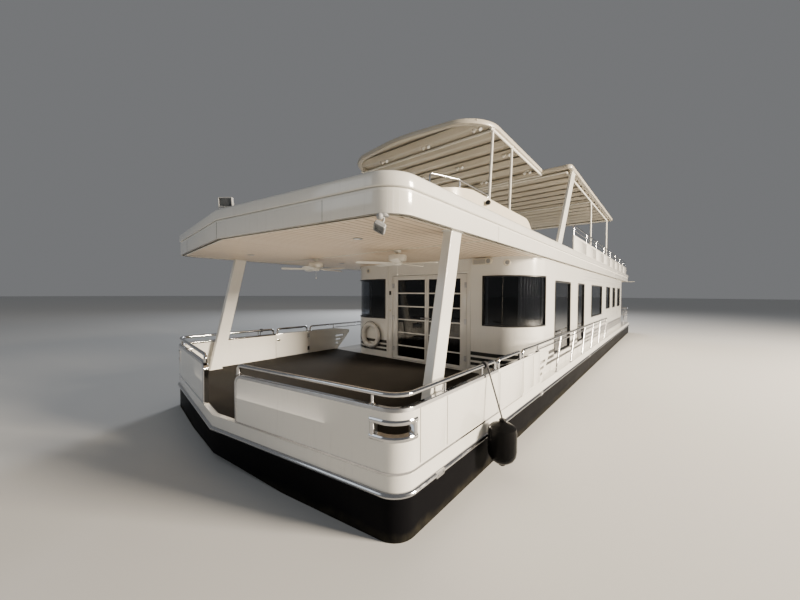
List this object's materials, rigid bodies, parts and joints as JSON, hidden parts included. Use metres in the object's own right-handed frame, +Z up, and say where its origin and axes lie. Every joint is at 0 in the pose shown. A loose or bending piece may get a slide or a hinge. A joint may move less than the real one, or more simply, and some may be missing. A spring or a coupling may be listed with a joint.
{
  "type": "houseboat",
  "caption": "Flat-bottomed lake houseboat with a roofed bow deck on raked columns, a hollow cabin, doors and boarding gates, a flybridge under a hardtop, and steered drives.",
  "frame": {"origin": "centre of the bounding box at the flat of the hull bottom", "axes": "+X to port, +Y from bow to stern, +Z up"},
  "size_m": [6.201, 21.3006, 5.775],
  "materials": {
    "gelcoat": "glossy white gelcoat, slightly warm",
    "black_hull": "near-black bottom paint",
    "steel": "polished stainless tube and strip",
    "rail_panel": "white panels under stainless bars",
    "cream": "cream moulded glass fibre",
    "tinted_glass": "dark tinted glass",
    "engine_paint": "painted engine grey",
    "drive_paint": "satin black drive paint",
    "vinyl": "white upholstery vinyl",
    "wheel_rim": "black moulded grip",
    "ring_foam": "white foam ring",
    "fender_rubber": "black inflated fender"
  },
  "bodies": {
    "boat": {"aft_rail_port": "steel", "aft_rail_starboard": "steel", "after_top_frame": "gelcoat", "bow_bulwark_port": "gelcoat", "bow_bulwark_starboard": "gelcoat", "bow_rail_port": "steel", "bow_rail_starboard": "steel", "bridge_coaming": "gelcoat", "cabin_aft": "gelcoat", "cabin_front": "gelcoat", "cabin_port": "gelcoat", "cabin_starboard": "gelcoat", "column_port": "gelcoat", "column_starboard": "gelcoat", "corner_glass_port": "tinted_glass", "corner_glass_starboard": "tinted_glass", "engine_port": "engine_paint", "engine_starboard": "engine_paint", "fan_motor_port": "gelcoat", "fan_motor_starboard": "gelcoat", "fender_port": "fender_rubber", "fender_starboard": "fender_rubber", "hardtop": "cream", "hardtop_frame": "gelcoat", "helm_console": "gelcoat", "helm_cushion": "vinyl", "helm_seat": "gelcoat", "hull": "black_hull", "life_ring": "ring_foam", "main_deck": "gelcoat", "raked_leg_port": "gelcoat", "raked_leg_starboard": "gelcoat", "roof": "gelcoat", "rub_rail": "steel", "side_glass_port": "tinted_glass", "side_glass_starboard": "tinted_glass", "side_panel_port": "gelcoat", "side_panel_starboard": "gelcoat", "side_rail_port": "steel", "side_rail_starboard": "steel", "stern_stair": "gelcoat", "swim_platform": "gelcoat", "upper_rail": "rail_panel"},
    "gate_port": {"side_gate_port": "gelcoat"},
    "gate_starboard": {"side_gate_starboard": "gelcoat"},
    "front_leaf_port": {"front_door_port": "gelcoat", "front_door_glass_port": "tinted_glass"},
    "front_leaf_starboard": {"front_door_starboard": "gelcoat", "front_door_glass_starboard": "tinted_glass"},
    "aft_leaf": {"aft_door": "gelcoat"},
    "hatch_lid": {"engine_hatch": "gelcoat"},
    "fan_port": {"fan_blades_port": "gelcoat"},
    "fan_starboard": {"fan_blades_starboard": "gelcoat"},
    "helm_wheel": {"steering_wheel": "wheel_rim"},
    "drive_port": {"sterndrive_port": "drive_paint"},
    "drive_starboard": {"sterndrive_starboard": "drive_paint"},
    "prop_port": {"propeller_port": "steel"},
    "prop_starboard": {"propeller_starboard": "steel"}
  },
  "joints": [
    {"name": "gate_port_hinge", "type": "hinge", "parent": "boat", "child": "gate_port", "pos_m": [2.673, -7.336, 1.45], "axis": [0, 0, -1], "range_deg": [0, 100]},
    {"name": "gate_starboard_hinge", "type": "hinge", "parent": "boat", "child": "gate_starboard", "pos_m": [-2.673, -7.336, 1.45], "axis": [0, 0, 1], "range_deg": [0, 100]},
    {"name": "front_door_port_hinge", "type": "hinge", "parent": "boat", "child": "front_leaf_port", "pos_m": [1.346, -6.497, 2.15], "axis": [0, 0, 1], "range_deg": [0, 95]},
    {"name": "front_door_starboard_hinge", "type": "hinge", "parent": "boat", "child": "front_leaf_starboard", "pos_m": [-0.576, -6.497, 2.15], "axis": [0, 0, -1], "range_deg": [0, 95]},
    {"name": "aft_door_hinge", "type": "hinge", "parent": "boat", "child": "aft_leaf", "pos_m": [0.104, 7.0831, 2.15], "axis": [0, 0, -1], "range_deg": [0, 95]},
    {"name": "engine_hatch_hinge", "type": "hinge", "parent": "boat", "child": "hatch_lid", "pos_m": [0.4, 7.706, 1.15], "axis": [1, 0, 0], "range_deg": [0, 75]},
    {"name": "fan_port_spin", "type": "hinge", "parent": "boat", "child": "fan_port", "pos_m": [1.07, -8.28, 3.18], "axis": [0, 0, 1], "continuous": true},
    {"name": "fan_starboard_spin", "type": "hinge", "parent": "boat", "child": "fan_starboard", "pos_m": [-1.07, -8.28, 3.18], "axis": [0, 0, 1], "continuous": true},
    {"name": "steering_wheel_turn", "type": "hinge", "parent": "boat", "child": "helm_wheel", "pos_m": [0.85, -6.38, 4.44], "axis": [0, 0.9063, 0.4226], "range_deg": [-540, 540]},
    {"name": "drive_port_steer", "type": "hinge", "parent": "boat", "child": "drive_port", "pos_m": [0.7, 9.79, 0.62], "axis": [0, 0, 1], "range_deg": [-28, 28]},
    {"name": "drive_starboard_steer", "type": "hinge", "parent": "boat", "child": "drive_starboard", "pos_m": [-0.7, 9.79, 0.62], "axis": [0, 0, 1], "range_deg": [-28, 28]},
    {"name": "propeller_port_spin", "type": "hinge", "parent": "drive_port", "child": "prop_port", "pos_m": [0.7, 10.22, 0.33], "axis": [0, 1, 0], "continuous": true},
    {"name": "propeller_starboard_spin", "type": "hinge", "parent": "drive_starboard", "child": "prop_starboard", "pos_m": [-0.7, 10.22, 0.33], "axis": [0, 1, 0], "continuous": true}
  ],
  "couplings": [
    {"joint": "drive_starboard_steer", "follows": "drive_port_steer", "ratio": 1}
  ]
}
